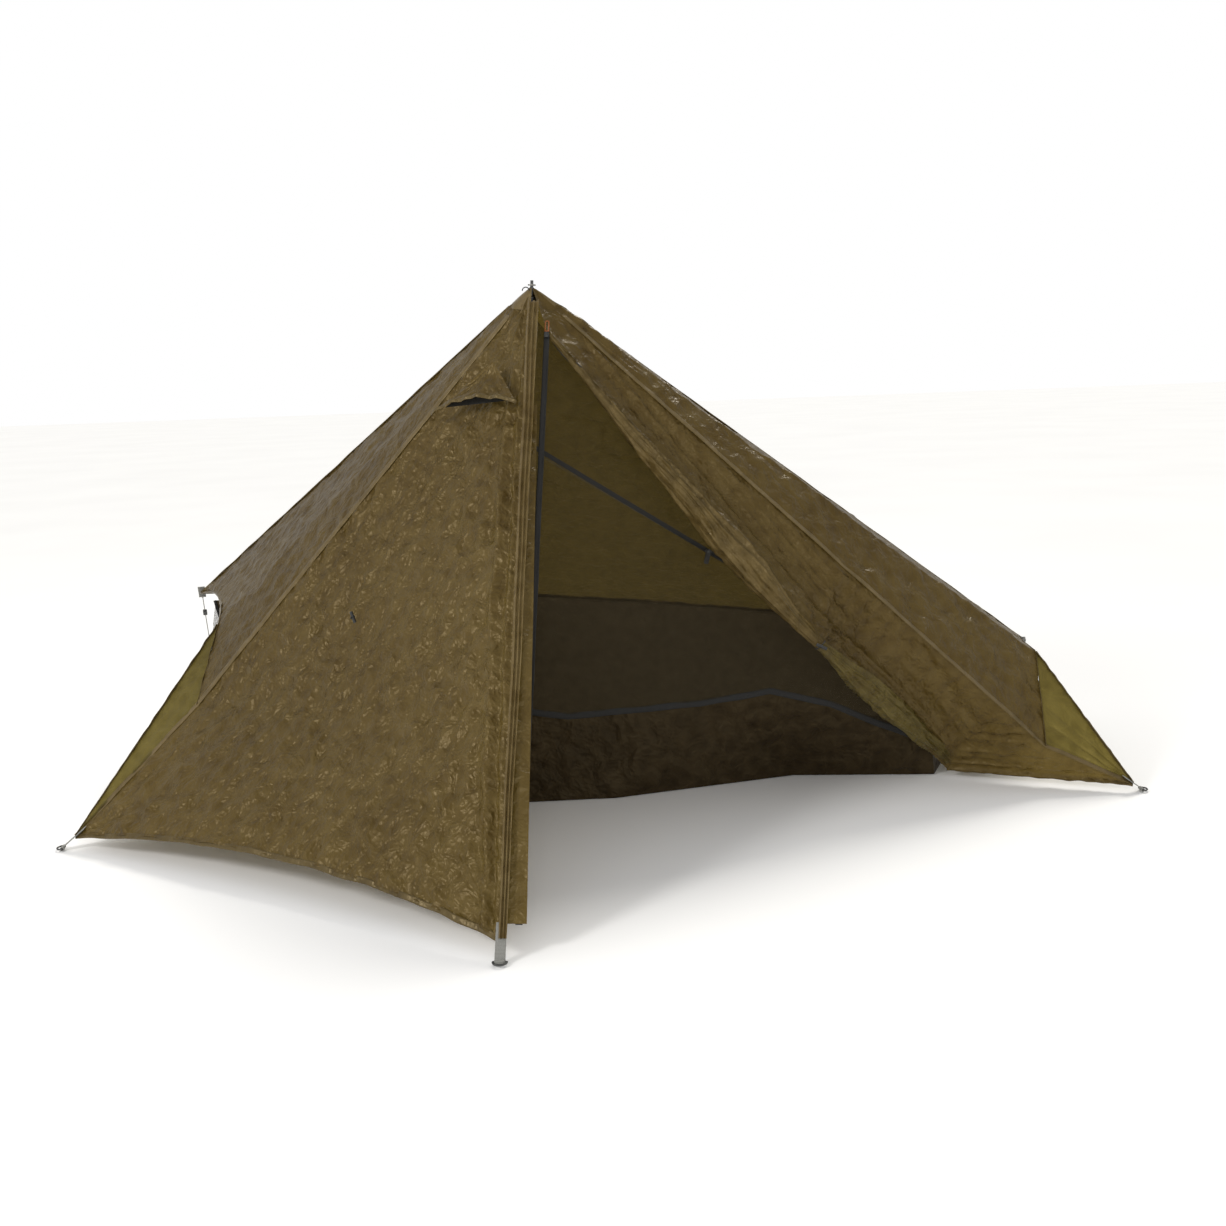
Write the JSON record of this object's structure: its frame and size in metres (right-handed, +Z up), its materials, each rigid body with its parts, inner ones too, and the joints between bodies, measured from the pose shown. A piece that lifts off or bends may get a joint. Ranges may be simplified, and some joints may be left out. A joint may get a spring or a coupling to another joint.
{
  "type": "single-pole tent",
  "caption": "Pyramid tent on one pole, half of its front door rolled open, with raised end wings, mesh inner wall, tub floor and rear guy lines.",
  "frame": {"origin": "on the ground under the foot of the pole", "axes": "+Z up, +X along the sleeper towards the end with the low wing, +Y to the back"},
  "size_m": [2.8264, 2.1919, 1.2633],
  "materials": {
    "canopy_fabric": "silicone-coated ripstop nylon, brown olive",
    "wing_fabric": "thin coated nylon, light shows through",
    "mesh": "fine insect mesh",
    "floor_fabric": "heavier coated floor fabric, dark grey brown",
    "zip_tape": "black zip tape and coil",
    "webbing": "grey webbing",
    "ring_metal": "black coated metal",
    "pull_cord": "red orange cord",
    "soft_tag": "black moulded rubber",
    "toggle_plastic": "black moulded plastic",
    "pole_alloy": "anodised aluminium tube",
    "line_cord": "braided line"
  },
  "bodies": {
    "canopy": {"left_door_panel": "canopy_fabric", "left_end_panel": "canopy_fabric", "left_wing_panel": "wing_fabric", "rear_panel": "canopy_fabric", "right_end_panel": "canopy_fabric", "right_wing_panel": "wing_fabric", "right_door_panel": "canopy_fabric", "mesh_wall_left": "mesh", "mesh_top_panel": "mesh", "mesh_end_gussets": "mesh", "floor_sheet": "floor_fabric", "tub_wall_front": "floor_fabric", "tub_end_walls": "floor_fabric", "tub_wall_rear": "floor_fabric", "inner_zip_diagonal": "zip_tape", "inner_zip_upright": "zip_tape", "inner_zip_sill": "zip_tape", "mesh_door": "mesh", "storm_flap": "canopy_fabric", "zip_facing": "canopy_fabric", "front_zip_left_tape": "zip_tape", "front_zip_right_tape": "zip_tape", "door_roll": "canopy_fabric", "peak_patch": "canopy_fabric", "vent_hood": "canopy_fabric", "vent_mesh": "mesh", "pole_upper_tube": "pole_alloy", "pole_tip": "pole_alloy", "upper_clamp_collar": "toggle_plastic", "peak_grommet": "ring_metal", "peak_loop": "webbing", "toggle_cords": "line_cord", "roll_tie_cord": "line_cord", "ridge_loops": "webbing", "strap_front": "webbing", "strap_left": "webbing", "strap_right": "webbing", "guy_line_left": "line_cord", "guy_line_right": "line_cord", "rear_straps": "webbing", "guy_knots": "line_cord", "peg_loops": "line_cord"},
    "pole_middle": {"pole_middle_tube": "pole_alloy", "middle_clamp_collar": "toggle_plastic"},
    "pole_lower": {"pole_lower_tube": "pole_alloy", "pole_foot": "toggle_plastic"},
    "upper_lever": {"upper_clamp_lever": "toggle_plastic"},
    "middle_lever": {"middle_clamp_lever": "toggle_plastic"},
    "outer_slider": {"outer_slider": "ring_metal"},
    "outer_pull": {"outer_pull": "pull_cord"},
    "inner_slider": {"inner_slider": "ring_metal"},
    "inner_tag": {"inner_tag": "soft_tag"},
    "toggle_left": {"toggle_left": "toggle_plastic"},
    "toggle_right": {"toggle_right": "toggle_plastic"},
    "ring_front": {"ring_front": "ring_metal"},
    "ring_left": {"ring_left": "ring_metal"},
    "ring_right": {"ring_right": "ring_metal"},
    "tensioner_left": {"tensioner_left": "toggle_plastic"},
    "tensioner_right": {"tensioner_right": "toggle_plastic"}
  },
  "joints": [
    {"name": "middle_section_slide", "type": "slide", "parent": "canopy", "child": "pole_middle", "axis": [0.0718, 0, 0.9974], "range_m": [0, 0.3]},
    {"name": "lower_section_slide", "type": "slide", "parent": "pole_middle", "child": "pole_lower", "axis": [0.0718, 0, 0.9974], "range_m": [0, 0.3]},
    {"name": "upper_clamp_hinge", "type": "hinge", "parent": "canopy", "child": "upper_lever", "pos_m": [0.04203, 0, 0.8191], "axis": [-0.0718, 0, -0.9974], "range_deg": [0, 110]},
    {"name": "middle_clamp_hinge", "type": "hinge", "parent": "pole_middle", "child": "middle_lever", "pos_m": [0.01307, 0, 0.40009], "axis": [-0.0718, 0, -0.9974], "range_deg": [0, 110]},
    {"name": "front_zip_slide", "type": "slide", "parent": "canopy", "child": "outer_slider", "axis": [-0.046, -0.5719, -0.819], "range_m": [0, 1.25]},
    {"name": "front_pull_hinge", "type": "hinge", "parent": "outer_slider", "child": "outer_pull", "pos_m": [0.12308, -0.05459, 1.14598], "axis": [0.9986, -0.0058, -0.052], "range_deg": [0, 30]},
    {"name": "inner_zip_slide", "type": "slide", "parent": "canopy", "child": "inner_slider", "axis": [0.8325, 0.0805, -0.5481], "range_m": [-0.49, 0.252]},
    {"name": "inner_tag_hinge", "type": "hinge", "parent": "inner_slider", "child": "inner_tag", "pos_m": [0.4871, 0.06842, 0.60907], "axis": [0.086, -0.9962, -0.0158], "range_deg": [-60, 60]},
    {"name": "toggle_left_swivel", "type": "hinge", "parent": "canopy", "child": "toggle_left", "pos_m": [-0.31833, -0.27708, 0.54], "axis": [-0.4756, -0.868, -0.1427], "range_deg": [-90, 90]},
    {"name": "toggle_right_swivel", "type": "hinge", "parent": "canopy", "child": "toggle_right", "pos_m": [0.728, -0.16, 0.412], "axis": [0, -1, 0], "range_deg": [-90, 90]},
    {"name": "ring_front_hinge", "type": "hinge", "parent": "canopy", "child": "ring_front", "pos_m": [0.03552, -0.8737, 0.0042], "axis": [-0.9981, 0.0622, 0], "range_deg": [-4, 75]},
    {"name": "ring_left_hinge", "type": "hinge", "parent": "canopy", "child": "ring_left", "pos_m": [-1.05175, -0.21297, 0.0042], "axis": [-0.124, 0.9923, 0], "range_deg": [-4, 75]},
    {"name": "ring_right_hinge", "type": "hinge", "parent": "canopy", "child": "ring_right", "pos_m": [1.52172, -0.03801, 0.0042], "axis": [0.0454, -0.999, 0], "range_deg": [-4, 75]},
    {"name": "tensioner_left_slide", "type": "slide", "parent": "canopy", "child": "tensioner_left", "axis": [-0.2167, 0.7268, -0.6518], "range_m": [-0.05, 0.05]},
    {"name": "tensioner_right_slide", "type": "slide", "parent": "canopy", "child": "tensioner_right", "axis": [0.3029, 0.8609, -0.4087], "range_m": [-0.05, 0.05]}
  ]
}
